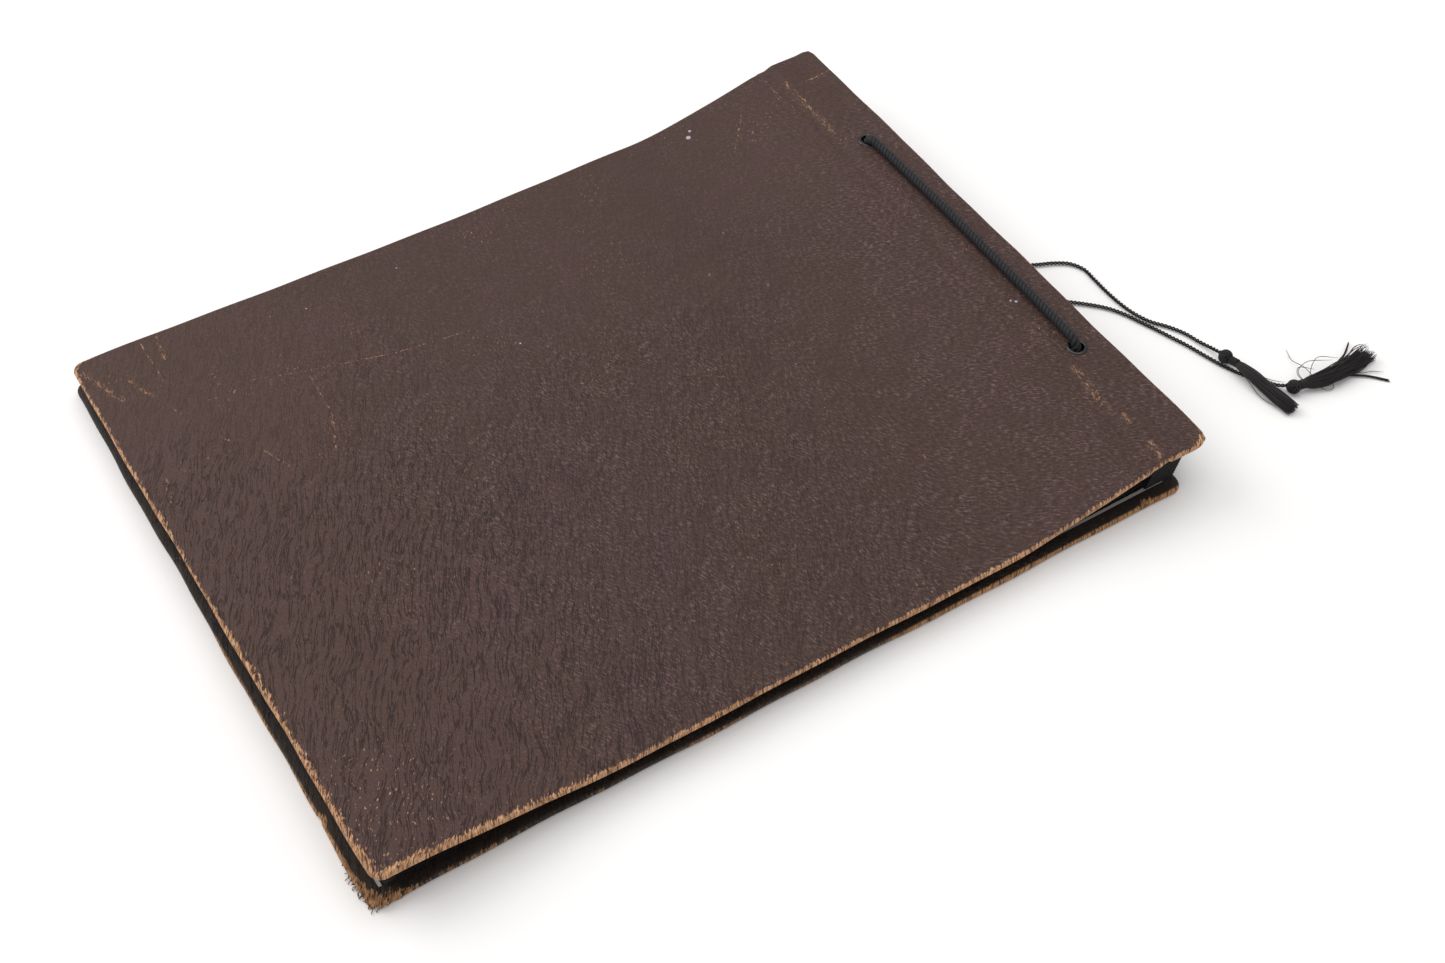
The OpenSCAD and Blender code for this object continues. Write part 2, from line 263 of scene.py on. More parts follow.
def along_line(paint, x0, y0, x1, y1, width):
    """1 on the line between two places, falling to 0 at width from it."""
    dx, dy = x1 - x0, y1 - y0
    share = ((paint.x - x0) * dx + (paint.y - y0) * dy) / (dx * dx + dy * dy)
    share = share.math("MAXIMUM", 0.0).math("MINIMUM", 1.0)
    away_x, away_y = paint.x - x0 - share * dx, paint.y - y0 - share * dy
    return paint.step((away_x * away_x + away_y * away_y).math("SQRT"), width, 0.0)


def strongest(masks):
    """The largest of several masks."""
    most = masks[0]
    for mask in masks[1:]:
        most = most.math("MAXIMUM", mask)
    return most


# Scratches and rubbed places on the front cover: x, y, x, y, width
SCRATCHES = [
    (-160, 118, -155, 107, 1.6), (-155, 107, -149, 91, 0.5), (-118, 94, -98, 88, 0.35),
    (-98, 88, -62, 79, 0.4), (-62, 79, -30, 75, 0.35), (-97, 83, -98, 62, 0.6),
    (-98, 62, -105, 43, 0.75), (-129, 56, -124, 44, 0.75), (-142, 73, -137, 66, 0.7),
    (-166, 64, -169, 56, 0.6), (-168, 54, -171, 47, 1.0), (-148, 138, -148, 112, 0.5),
    (-174, 132, -166, 110, 2.0), (-141, 136, -143, 122, 1.2), (132, 122, 118, 106, 0.5),
    (88, -79, 88.4, -80.4, 0.9), (71, 51, 70, 50, 0.8), (88, 32, 87, 31, 0.8),
    (89, 69, 88, 68, 0.8), (132, 110, 131, 109, 0.8)]
CREASE_WEAR = [
    (157.4, 126, 157.2, 86, 1.7), (151, 134, 150.8, 118, 0.6), (158.6, -82, 156.2, -106, 2.2),
    (159.4, -111, 158.6, -116, 1.2), (158.4, -128, 157.6, -139, 2.0), (165, 121, 178, 121, 0.8)]
WHITE_SPOTS = [(-82, 120.5, 0.7), (-39.3, 123.8, 0.7), (107, 127, 2.2), (109.5, 130, 1.4),
    (-16, 57.5, 0.9), (161.2, -40, 1.3), (159.6, -38.4, 0.9)]


def leaning(paint, lean, x0=0.0, y0=0.0):
    """Distance across and along a direction that leans from Y, measured from a place.

    The lean is an angle in degrees or a varying one; across is x cos - y sin, along x sin + y cos.
    """
    dx, dy = paint.x - x0, paint.y - y0
    if isinstance(lean, Socket):
        turn = lean * math.radians(1)
        c, s = turn.math("COSINE"), turn.math("SINE")
    else:
        c, s = math.cos(math.radians(lean)), math.sin(math.radians(lean))
    return dx * c - dy * s, dx * s + dy * c


def leatherette(name, box, tones, reach_of, marks=(), spots=(), flecked=(), grain=1.0):
    """Wrinkled leatherette that wears to tan along its edges.

    Long thin furrows lean towards the spine: they lie where a noise of (across, 0.085 along)
    crosses its middle value. Short raised dashes lean the other way, and more so near the spine:
    they are the peaks of a noise of (across, 0.27 along). Everywhere the skin has fine pores, and
    away from the fore-edge it is a little deeper in colour. The colour follows the relief as painted
    light: the furrows, the hollows between dashes and the pores' pits are painted with a shade tone,
    and the dashes and the pores' peaks with a painted highlight. Wear reaches in from the edge as far
    as reach_of says, times a noise drawn out along the furrows, so that it ends in a comb's teeth.
    In the worn zone the low fibres are darkened, partly the worn skin's own dark and partly painted shade.
    """
    paint = Paint(name)
    dark, warm, furrow_shade_tone, painted_glint_tone, worn, pale = tones
    sway = (paint.noise(paint.place, 0.05, 2.0) - 0.5) * 8
    slow = paint.noise(paint.place, 0.016, 1.0) - 0.5
    across, along = leaning(paint, 29.0)
    across = across + sway
    lean = -21.0 - 26.0 * paint.step(paint.x, 40.0, 130.0)
    cross_a, cross_l = leaning(paint, lean, 110.0, -70.0)
    cross_a = cross_a + sway * 0.7

    lines = paint.noise(paint.vector(across, along * 0.085, 4.0), 0.62, 2.0, 0.6)
    furrow = paint.step((lines - 0.5).math("ABSOLUTE"), 0.028, 0.005)
    short = paint.noise(paint.vector(cross_a, cross_l * 0.27, 9.0), 1.55, 2.5, 0.65)
    dash = paint.step(short, 0.50, 0.70)
    pores = paint.noise(paint.place, 1.25, 4.0, 0.85)
    patches = paint.noise(paint.place, 0.03, 3.0, 0.6)
    # Slow patches where the painted glints are stronger.
    painted_glint_patches = paint.step(paint.noise(paint.place, 0.09, 2.0), 0.36, 0.62)
    calm = paint.step(paint.y + slow * 130, 100.0, 20.0)
    ploughed = (0.32 + 0.68 * calm) * (1 - 0.50 * paint.step(paint.x + slow * 90, -110.0, -20.0))
    ploughed = ploughed * (1 - 0.70 * paint.step(paint.x + slow * 120, 40.0, 110.0))
    lively = (0.46 + 0.54 * calm) * (0.22 + 0.78 * paint.step(paint.x + slow * 60, -140.0, -70.0))

    colour = paint.mix(paint.step(patches, 0.30, 0.70), dark, warm)
    deeper = paint.step(paint.x + slow * 60, -130.0, -30.0)
    colour = paint.mix(deeper * 0.16, colour, furrow_shade_tone)
    # Painted shade: the pores' pits are darkened towards the furrow shade tone.
    colour = paint.mix(paint.step(pores, 0.52, 0.34) * 0.42, colour, furrow_shade_tone)
    # Painted highlight: the pores' peaks are lightened towards the glint tone.
    colour = paint.mix(paint.step(pores, 0.52, 0.68) * 0.20, colour, painted_glint_tone)
    # Painted shade: the hollows between the raised dashes are darkened.
    colour = paint.mix(paint.step(short, 0.50, 0.34) * lively * 0.50, colour, furrow_shade_tone)
    # Painted highlight: glints on the raised dashes, stronger in slow patches.
    colour = paint.mix(dash * lively * (0.24 + 0.34 * painted_glint_patches), colour, painted_glint_tone)
    # Painted shade in the furrows, which also sink in the height below.
    colour = paint.mix(furrow * ploughed * 0.80, colour, furrow_shade_tone)
    dense = paint.step(paint.noise(paint.place, 0.04, 2.0), 0.50, 0.72) * 0.5
    if flecked:
        dense = strongest([dense, *[near_point(paint, *place) for place in flecked]])
    dots = paint.noise(paint.vector(across, along * 0.4, 0.0), 1.25, 1.0)
    flecks = paint.step(dots, 0.67, 0.72) * paint.step(pores, 0.40, 0.50)
    colour = paint.mix(flecks * dense * 0.8, colour, pale)

    depth, along_x = edge_distance(paint, box)
    teeth = paint.noise(paint.vector(across, along * 0.28, 3.0), 1.05, 2.0, 0.7)
    bare = paint.step(reach_of(paint, along_x) * (teeth * 5.0 - 1.55) - depth, -0.35, 0.45)
    if marks:
        rubbed = strongest([along_line(paint, *mark) for mark in marks])
        broken = paint.noise(paint.vector(paint.x, paint.y * 0.34, 5.0), 1.15, 2.0, 0.75)
        bare = bare.math("MAXIMUM", rubbed * paint.step(broken, 0.50, 0.62) * 0.72)
    fibres = paint.noise(paint.vector(across, along * 0.22, 7.0), 1.9, 2.0, 0.7)
    tan = paint.mix(paint.step(fibres, 0.40, 0.62), worn, pale)
    # The worn zone's low fibres turn dark: partly the worn skin's own dark, partly painted shade.
    tan = paint.mix(paint.step(fibres, 0.43, 0.34) * 0.75, tan, furrow_shade_tone)
    colour = paint.mix(bare, colour, tan)
    if spots:
        white = strongest([near_point(paint, *spot) for spot in spots])
        chipped = paint.step(white * (0.35 + paint.noise(paint.place, 1.3, 3.0, 0.8)), 0.40, 0.56)
        colour = paint.mix(chipped * 0.85, colour, shade(186, 176, 186))

    roughness = 0.48 + 0.20 * pores + 0.25 * bare
    height = short * (0.25 + 0.75 * lively) + pores * 0.35 - furrow * ploughed * 0.5
    height = height + bare * (fibres * 0.8 - 0.15)
    return paint.finish(colour, roughness, {"Specular IOR Level": 0.28}, height, 0.50 * grain)


def front_reach(paint, along_x):
    """How far the wear comes in on the front cover: widest at the near fore corner."""
    near = paint.step(paint.y, 0.0, -1.0)
    near_edge = 0.75 + 1.05 * paint.step(paint.x, -50.0, -130.0)
    long_edges = near * near_edge + (1 - near) * 0.30
    fore = paint.step(paint.x, 0.0, -1.0)
    fore_edge = 0.90 + 0.75 * paint.step(paint.y, 10.0, -60.0) + 0.8 * near_point(
        paint, fore_x, 45.0, 8.0)
    short_edges = fore * fore_edge + (1 - fore) * 0.35
    corners = 1.3 * near_point(paint, fore_x, -half_width, 26.0)
    corners = corners + 2.6 * near_point(paint, spine_x, -half_width, 8.0)
    corners = corners + 0.8 * near_point(paint, fore_x, half_width, 16.0)
    return along_x * long_edges + (1 - along_x) * short_edges + corners


def back_reach(paint, along_x):
    """How far the wear comes in on the back cover: a crushed near fore corner, little elsewhere."""
    near = along_x * paint.step(paint.y, 0.0, -1.0)
    edge = 0.12 + 0.9 * near * paint.step(paint.x, -50.0, -150.0)
    return edge + 4.2 * near_point(paint, back_low[0], back_low[1], 18.0) \
        + 3.0 * near_point(paint, back_low[0], notch_y, 4.0) \
        + 1.8 * near_point(paint, 152.0, back_low[1], 6.0)


def black_paper(name, tone, fleck_tone, edge_wear_and_highlight_tone, box):
    """Matt black album paper: short felted fibres, slow mottling and a paler cut edge: worn paper, and on
    the back lining a whitish painted highlight as well.
    """
    paint = Paint(name)
    mottle = paint.noise(paint.place, 0.05, 4.0, 0.6)
    fibres = paint.noise(paint.vector(paint.x, paint.y * 0.35, paint.z * 2), 2.6, 3.0, 0.7)
    felt = paint.noise(paint.vector(paint.x * 0.35, paint.y, paint.z * 2), 2.6, 3.0, 0.7)
    colour = paint.mix(mottle * 0.6, tone, fleck_tone)
    colour = paint.mix(paint.step(fibres * felt, 0.30, 0.42) * 0.5, colour, fleck_tone)
    x0, x1, y0, y1 = box
    from_edge = (paint.x - x0).math("MINIMUM", x1 - paint.x)
    from_edge = from_edge.math("MINIMUM", paint.y - y0).math("MINIMUM", y1 - paint.y)
    worn_here = paint.noise(paint.place, 0.6, 3.0, 0.8) + paint.noise(paint.place, 0.06, 2.0)
    rubbed = paint.step(from_edge + worn_here, 1.42, 1.16)
    # The rubbed cut edge takes the edge tone: wear, and on the back lining also a painted highlight.
    colour = paint.mix(rubbed, colour, edge_wear_and_highlight_tone)
    return paint.finish(
        colour, 0.82 + 0.12 * fibres, {"Specular IOR Level": 0.25}, fibres + felt, 0.05)


def fibre_board(name):
    """Grey-brown board: layered fibres along the sheet, darker where the glue soaked in."""
    paint = Paint(name)
    fibres = paint.noise(paint.vector(paint.x * 0.4, paint.y, paint.z * 5), 1.4, 4.0, 0.7)
    glue = paint.noise(paint.place, 0.04, 3.0)
    colour = paint.mix(fibres, shade(112, 92, 70), shade(158, 134, 104))
    colour = paint.mix(paint.step(glue, 0.45, 0.7) * 0.5, colour, shade(84, 66, 50))
    return paint.finish(colour, 0.9, {"Specular IOR Level": 0.2}, fibres, 0.12)


def enamel(name):
    """Black eyelet enamel, glossy, with fine scuffs and a few chips down to grey metal."""
    paint = Paint(name)
    scuffs = paint.noise(paint.place, 3.0, 4.0, 0.7)
    chips = paint.step(paint.noise(paint.place, 1.4, 3.0, 0.6), 0.69, 0.73)
    colour = paint.mix(chips, shade(8, 8, 10), shade(96, 94, 92))
    roughness = 0.20 + 0.22 * paint.step(scuffs, 0.45, 0.75)
    return paint.finish(
        colour, roughness, {"Coat Weight": 0.25, "Coat Roughness": 0.10}, scuffs, 0.012)


def twisted_thread(name, tone, light, fibre_scale):
    """Dyed thread: fine fibres run along each strand, with lighter hairs and dull dust."""
    paint = Paint(name)
    u, v, unused = paint.split(paint.node("TexCoord", {}, {}, "UV"))
    fibres = paint.noise(paint.vector(u * fibre_scale, v * 0.55, 0.0), 1.0, 3.0, 0.7)
    dust = paint.noise(paint.place, 0.35, 3.0)
    colour = paint.mix(fibres * 0.75, tone, light)
    colour = paint.mix(paint.step(dust, 0.55, 0.8) * 0.35, colour, shade(44, 41, 40))
    sheen = {"Sheen Weight": 0.04, "Specular IOR Level": 0.30}
    return paint.finish(colour, 0.50 + 0.25 * fibres, sheen, fibres, 0.05)


def pale_table(name):
    """The plain pale table, with a barely visible unevenness."""
    paint = Paint(name)
    cloud = paint.noise(paint.place, 0.004, 2.0)
    colour = paint.mix(cloud, shade(246, 244, 243), shade(250, 249, 249))
    return paint.finish(colour, 0.7 + 0.1 * cloud, {"Specular IOR Level": 0.1})


front_box = (fore_x, spine_x, -half_width, half_width)
back_box = (back_low[0], back_high[0], back_low[1], back_high[1])
lining_box = (fore_x + turn_in, spine_x - turn_in, turn_in - half_width, half_width - turn_in)
back_lining_box = (back_low[0] + turn_in, back_high[0] - turn_in, lining_box[2], lining_box[3])
leaf_box = (fore_x + 9, spine_x - 5, 5.0 - half_width, half_width - 5.0)

# Ground in two shades, furrow, glint, worn and palest, for each covering. The furrow tone is
# painted shade and the glint tone a painted highlight. The back's darker ground is partly its own
# worn skin and partly painted shade from the front cover over it.
FRONT_TONES = [shade(73, 50, 45), shade(71, 49, 40), shade(34, 20, 17), shade(128, 107, 105),
    shade(150, 106, 72), shade(204, 160, 124)]
BACK_TONES = [shade(38, 29, 26), shade(50, 38, 28), shade(14, 11, 10), shade(84, 72, 62),
    shade(124, 84, 52), shade(182, 140, 100)]
FLECKED = [(fore_x + 14, 24 - half_width, 50.0), (panel_x - 20, 112, 16.0)]

front_hide = leatherette("front_leatherette", front_box, FRONT_TONES, front_reach,
    SCRATCHES + CREASE_WEAR, WHITE_SPOTS, FLECKED)
# The back covering's dark ground is partly painted shade from the front cover above it.
back_hide = leatherette("back_leatherette", back_box, BACK_TONES, back_reach, grain=1.2)
lining_paper = black_paper("front_lining_paper", shade(22, 22, 24), shade(40, 39, 40),
    shade(78, 74, 70), lining_box)
# The back lining's whitish edge is partly wear and partly a painted highlight.
back_paper = black_paper("back_lining_paper", shade(12, 12, 14), shade(28, 27, 28),
    shade(176, 172, 166), back_lining_box)
leaf_paper = black_paper("leaf_paper", shade(20, 20, 22), shade(42, 41, 42),
    shade(50, 48, 47), leaf_box)
spacer_card = black_paper("spacer_card", shade(24, 24, 26), shade(48, 46, 46),
    shade(40, 39, 39), leaf_box)
board_stock = fibre_board("cover_board")
eyelet_enamel = enamel("eyelet_enamel")
thick_cord_dye = twisted_thread("thick_cord", shade(7, 8, 9), shade(44, 46, 50), 9.0)
thin_cord_dye = twisted_thread("thin_cord", shade(6, 6, 7), shade(34, 34, 38), 5.0)
tassel_dye = twisted_thread("tassel_thread", shade(7, 6, 7), shade(44, 34, 36), 2.0)
frayed_dye = twisted_thread("frayed_corner", shade(92, 62, 38), shade(150, 110, 70), 2.0)
table_paint = pale_table("table")

# ---- meshes ----


def add_piece(name, points_mm, faces, material, sharp=math.radians(40), uvs=None):
    """A mesh object at the origin from points in millimetres and rows of point numbers."""
    mesh = bpy.data.meshes.new(name)
    mesh.from_pydata((np.asarray(points_mm) * MM).tolist(), [], faces)
    if uvs is not None:
        layer = mesh.uv_layers.new(name="UVMap")
        layer.data.foreach_set("uv", np.asarray(uvs, np.float32).ravel())
    mesh.polygons.foreach_set("use_smooth", np.ones(len(mesh.polygons), bool))
    mesh.set_sharp_from_angle(angle=sharp)
    mesh.materials.append(material)
    made = bpy.data.objects.new(name, mesh)
    bpy.context.scene.collection.objects.link(made)
    return made


def cells(numbers):
    """The four corners of every cell in a grid of point numbers, anticlockwise."""
    return np.stack([numbers[:-1, :-1], numbers[1:, :-1], numbers[1:, 1:], numbers[:-1, 1:]], -1)


def round_cells(i0, i1, j0, j1):
    """Grid places once round a rectangle of cells, anticlockwise."""
    across, up = np.arange(i0, i1), np.arange(j0, j1)
    i = np.concatenate([across, np.full(len(up), i1), across[::-1] + 1, np.full(len(up), i0)])
    j = np.concatenate([np.full(len(across), j0), up, np.full(len(across), j1), up[::-1] + 1])
    return i, j


def band(upper, lower):
    """Quads between two closed loops of point numbers."""
    return np.stack([upper, lower, np.roll(lower, -1), np.roll(upper, -1)], -1)


def grid_lines(low, high, step, radius, kept=(), dense=()):
    """Lines a step apart, closer round the corners' quarter turns and between the dense ends.

    A kept line stays exactly where it is, and the even lines near it give way.
    """
    turn = radius * (1 - np.cos(np.linspace(0, math.pi / 2, 7)))
    even = np.arange(low + radius + step, high - radius - step / 2, step)
    if dense:
        even = even[(even < dense[0] - 0.4) | (even > dense[1] + 0.4)]
        even = np.concatenate([even, np.linspace(dense[0], dense[1], 14)])
    for a, b in kept:
        even = even[(even < a - 0.5) | (even > b + 0.5)]
    ends = np.concatenate([low + turn, high - turn])
    return np.unique(np.concatenate([ends, even, np.ravel(kept)]).round(4))


def drawn_in(lines, amount):
    """Lines moved in by amount at both ends, and by less and less over the next 8 mm."""
    low = np.clip(1 - (lines - lines.min()) / 8, 0, 1)
    high = np.clip(1 - (lines.max() - lines) / 8, 0, 1)
    return lines + amount * (low - high)


class Outline:
    """A rounded rectangle and the grid of lines that fills it.

    A row keeps its lines but draws its ends in by r - sqrt(r² - d²) where it is d past the centre of
    a corner. Long edges and short edges wander by a few tenths of a millimetre.
    """

    def __init__(self, x_lines, y_lines, radius, wander=0.0):
        self.x_lines, self.y_lines = x_lines, y_lines
        self.radius, self.wander = radius, wander

    def flat(self, inset):
        """x and y of the grid, with its outline moved in."""
        x, y = np.meshgrid(drawn_in(self.x_lines, inset), drawn_in(self.y_lines, inset),
            indexing="ij")
        r = max(self.radius - inset, 0.2)
        past = np.clip(r - np.minimum(y - y.min(), y.max() - y), 0, r)
        ends = r - np.sqrt(r * r - past * past)
        low = np.clip(1 - (x - x.min()) / 8, 0, 1)
        high = np.clip(1 - (x.max() - x) / 8, 0, 1)
        x = x + ends * (low - high)
        side = np.clip(1 - (self.y_lines.max() - np.abs(y)) / 8, 0, 1)
        drift = self.wander * (np.sin(x / 19 + 1) + 0.6 * np.sin(x / 7.1 + y / 90))
        y = y - np.sign(y) * drift * side
        x = x + (low - high) * self.wander * (np.sin(y / 15) + 0.5 * np.sin(y / 5.3 + 2))
        return x, y


def wrapped(name, outline, layers, material, holes=(), outer_up=True, shape=None):
    """A closed thin shell: a grid, rings round its border, and a second grid.

    layers holds (inset, height), height being a function of x and y. The first and last are whole
    grids and those between give only their borders, so the surface runs over the outer face,
    round the rim and back behind. A hole is left out of both grids and walled between them.
    """
    levels = []
    for inset, height in layers:
        x, y = outline.flat(inset)
        points = np.stack([x, y, height(x, y)], -1)
        levels.append(points if shape is None else shape(points))
    nx, ny = levels[0].shape[:2]
    ring = round_cells(0, nx - 1, 0, ny - 1)
    rings = [level[ring] for level in levels[1:-1]]
    first = np.arange(nx * ny).reshape(nx, ny)
    last = first + nx * ny
    loops = [2 * nx * ny + k * len(ring[0]) + np.arange(len(ring[0])) for k in range(len(rings))]
    loops = [first[ring], *loops, last[ring]]
    kept = np.ones((nx - 1, ny - 1), bool)
    walls = [band(a, b) for a, b in zip(loops[:-1], loops[1:])]
    for hx, hy in holes:
        i0, i1 = [int(np.argmin(abs(outline.x_lines - hx - s * hole_half))) for s in (-1, 1)]
        j0, j1 = [int(np.argmin(abs(outline.y_lines - hy - s * hole_half))) for s in (-1, 1)]
        kept[i0:i1, j0:j1] = False
        hole = round_cells(i0, i1, j0, j1)
        walls.append(band(last[hole], first[hole]))
    quads = np.concatenate([cells(first)[kept], cells(last)[kept][:, ::-1], *walls])
    if not outer_up:
        quads = quads[:, ::-1]
    points = np.concatenate([levels[0].reshape(-1, 3), levels[-1].reshape(-1, 3), *rings])
    used = np.unique(quads)
    number = np.zeros(len(points), int)
    number[used] = np.arange(len(used))
    return add_piece(name, points[used], number[quads].tolist(), material)


def unit(vectors):
    return vectors / np.linalg.norm(vectors, axis=-1, keepdims=True)


def square_to(paths, across):
    """Two unit directions square to paths: across less its share along them, and their cross product."""
    along = unit(np.gradient(paths, axis=-2))
    across = np.broadcast_to(across, paths.shape)
    side = unit(across - np.sum(across * along, -1, keepdims=True) * along)
    return side, np.cross(along, side)


def strands(name, paths, radii, across, material, sides=8):
    """Round tubes along many paths at once, with flat ends.

    At each point the ring is the path + r (cos a · side + sin a · up), where side is the given
    direction made square to the path, and up is square to both.
    """
    paths = np.asarray(paths, float)
    count, length = paths.shape[:2]
    side, up = square_to(paths, across)
    angle = 2 * math.pi * np.arange(sides) / sides
    radii = np.broadcast_to(radii, paths.shape[:2])[..., None, None]
    turned = np.cos(angle)[:, None] * side[:, :, None] + np.sin(angle)[:, None] * up[:, :, None]
    points = (paths[:, :, None] + radii * turned).reshape(-1, 3)
    number = np.arange(count * length * sides).reshape(count, length, sides)
    after = np.roll(number, -1, axis=2)
    quads = np.stack([number[:, :-1], after[:, :-1], after[:, 1:], number[:, 1:]], -1)
    run = np.linalg.norm(np.diff(paths, axis=1, prepend=paths[:, :1]), axis=-1).cumsum(axis=1)
    u0 = np.broadcast_to(np.arange(sides) / sides, (count, length - 1, sides))
    u1 = u0 + 1 / sides
    v0 = np.broadcast_to(run[:, :-1, None], u0.shape)
    v1 = np.broadcast_to(run[:, 1:, None], u0.shape)
    corners = [np.stack(c, -1) for c in ((u0, v0), (u1, v0), (u1, v1), (u0, v1))]
    uvs = np.stack(corners, -2).reshape(-1, 2)
    caps = [*number[:, 0, ::-1].tolist(), *number[:, -1].tolist()]
    uvs = np.concatenate([uvs, np.zeros((2 * count * sides, 2))])
    return add_piece(name, points, quads.reshape(-1, 4).tolist() + caps, material, uvs=uvs)


def smooth_path(points, step):
    """A cubic curve through the points, its slopes taken from their neighbours, in even steps."""
    points = np.asarray(points, float)
    mark = np.concatenate([[0], np.linalg.norm(np.diff(points, axis=0), axis=1).cumsum()])
    slope = np.gradient(points, mark, axis=0)
    s = np.linspace(0, mark[-1], 40 * len(points))
    i = np.clip(np.searchsorted(mark, s, "right") - 1, 0, len(points) - 2)
    gap = (mark[i + 1] - mark[i])[:, None]
    t = (s - mark[i])[:, None] / gap
    curve = (2 * t**3 - 3 * t**2 + 1) * points[i] + (t**3 - 2 * t**2 + t) * gap * slope[i]
    curve += (3 * t**2 - 2 * t**3) * points[i + 1] + (t**3 - t**2) * gap * slope[i + 1]
    run = np.concatenate([[0], np.linalg.norm(np.diff(curve, axis=0), axis=1).cumsum()])
    even = np.linspace(0, run[-1], max(int(run[-1] / step), 4))
    return np.stack([np.interp(even, run, curve[:, k]) for k in range(3)], -1)


def path_length(path):
    return float(np.linalg.norm(np.diff(path, axis=0), axis=1).sum())


def laid(path, count, offset, pitch, across):
    """Strands laid round a path: strand k is offset from it at the angle 2π (k / count + s / pitch)."""
    side, up = square_to(path, across)
    s = np.linspace(0, path_length(path), len(path))
    angle = 2 * math.pi * (np.arange(count)[:, None] / count + s[None] / pitch)
    return path + offset * (np.cos(angle)[..., None] * side + np.sin(angle)[..., None] * up)


def from_spine(points):
    """Points given past the spine edge, moved to the frame."""
    return np.asarray(points, float) + [spine_x, 0, 0]


# ---- cords ----

UPRIGHT = np.array([0.0, 0.0, 1.0])
TO_SPINE = np.array([1.0, 0.0, 0.0])

# Routes of the two tails, as in the part's source: past the spine edge, y, height
TAIL_ROUTES = [
    [[-2.8, -9, 2.2], [0, -6, 1.2], [4, -4.5, 0.9], [9, -6, 0.9], [14, -8.5, 0.9],
        [19, -11, 0.9], [25.5, -14, 0.9], [31, -18, 0.9], [33.7, -23, 0.9], [33.8, -31, 0.9],
        [33.6, -39, 0.9], [33.9, -47, 0.9], [35.2, -55.5, 0.9], [38, -63, 0.9],
        [42.5, -69.5, 0.9], [45.8, -76, 0.9], [47.6, -83, 1.1], [49, -89, 1.9],
        [49.4, -93.8, 3.2]],
    [[-2.8, -11, 2.2], [0, -16, 1.2], [4, -23, 0.9], [9.5, -29.5, 0.9], [16, -35.5, 0.9],
        [22, -41, 0.9], [27.5, -47, 0.9], [31.4, -53.5, 0.9], [34.2, -60.5, 0.9],
        [37, -67.5, 0.9], [39.5, -74.5, 0.9], [42.2, -82, 0.9], [44.5, -90, 0.9],
        [47, -98, 0.9], [50.3, -106, 0.9], [55, -114, 0.9], [58.6, -119.2, 1.6],
        [60.2, -121.8, 3]]]


def thin_cord(name, points):
    """A cord of two plies laid round the curve through the points."""
    path = smooth_path(points, 0.28)
    plies = laid(path, 2, ply_offset, ply_pitch, UPRIGHT)
    return strands(name, plies, ply_r, UPRIGHT, thin_cord_dye), path


tails = []
for number, route in enumerate(TAIL_ROUTES, 1):
    piece, path = thin_cord(f"tail_{number}_twisted", from_spine(route))
    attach(piece, "binding")
    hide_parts(f"tail_cord_{number}")
    tails.append((piece, path))


def add_thick_cord():
    """Three strands laid at 6 mm a turn, over the strip, down through both eyelets and the leaves."""
    far = [[back_hole_x, hole_y, 1.6], [back_hole_x + 0.1, hole_y, 3.4],
        [hole_x - 0.1, hole_y, strip_top - 3.2], [hole_x, hole_y - 0.45, strip_top - 0.7],
        [hole_x, hole_y - 1.1, strip_top + 1.0], [hole_x + 0.1, hole_y - 3.2, strip_top + 2.3],
        [hole_x + 0.4, hole_y - 8, strip_top + 2.3], [hole_x + 0.9, hole_y - 26, strip_top + 2.15]]
    near = [[x, -y, z] for x, y, z in far[::-1]]
    middle = [[hole_x + 1.4, 24, strip_top + 2.12], [hole_x + 1.2, -12, strip_top + 2.12]]
    path = smooth_path(far + middle + near, 0.5)
    made = strands("thick_cord_laid", laid(path, 3, rope_r - strand_r, 6.0, TO_SPINE), strand_r,
        TO_SPINE, thick_cord_dye, sides=12)
    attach(made, "binding")
    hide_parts("binding_cord")


def add_under_cords():
    """The thin cord under the back cover, from each eyelet to the middle and out to the knot."""
    for side, label in ((1, "far"), (-1, "near")):
        y = knot_y + 0.85 * side
        path = [[back_hole_x, side * (hole_y - 1), 0.9], [back_hole_x, side * (hole_y - 6), 0.9],
            [back_hole_x, side * 40, 0.9], [back_hole_x, y + 6 * side, 0.9],
            [back_hole_x + 1.2, y + 1.6 * side, 0.9], [back_hole_x + 4, y, 0.9],
            [back_hole_x + 9, y, 1.0], [back_hole_x + 12.4, y, 2.4]]
        made, unused = thin_cord(f"under_cord_{label}_twisted", path)
        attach(made, "binding")
        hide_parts(f"under_cord_{label}")


def add_cord_knot():
    """The knot that joins the cords: a trefoil, (2 + cos 3t)(cos 2t, sin 2t) with 2 sin 3t up."""
    low, high = box_mm("cord_knot")
    centre = (low + high) / 2
    t = np.linspace(0, 2 * math.pi, 220)[:-1]
    ring = 0.68 * np.stack([(2 + np.cos(3 * t)) * np.cos(2 * t),
        (2 + np.cos(3 * t)) * np.sin(2 * t), 2.0 * np.sin(3 * t)], -1)
    path = np.concatenate([ring, ring[:1]]) + centre
    made = strands("cord_knot_tied", laid(path, 2, 0.36, 2.4, UPRIGHT), 0.46, UPRIGHT, thin_cord_dye)
    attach(made, "binding")
    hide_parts("cord_knot")


add_thick_cord()
add_under_cords()
add_cord_knot()

# ---- tassels ----


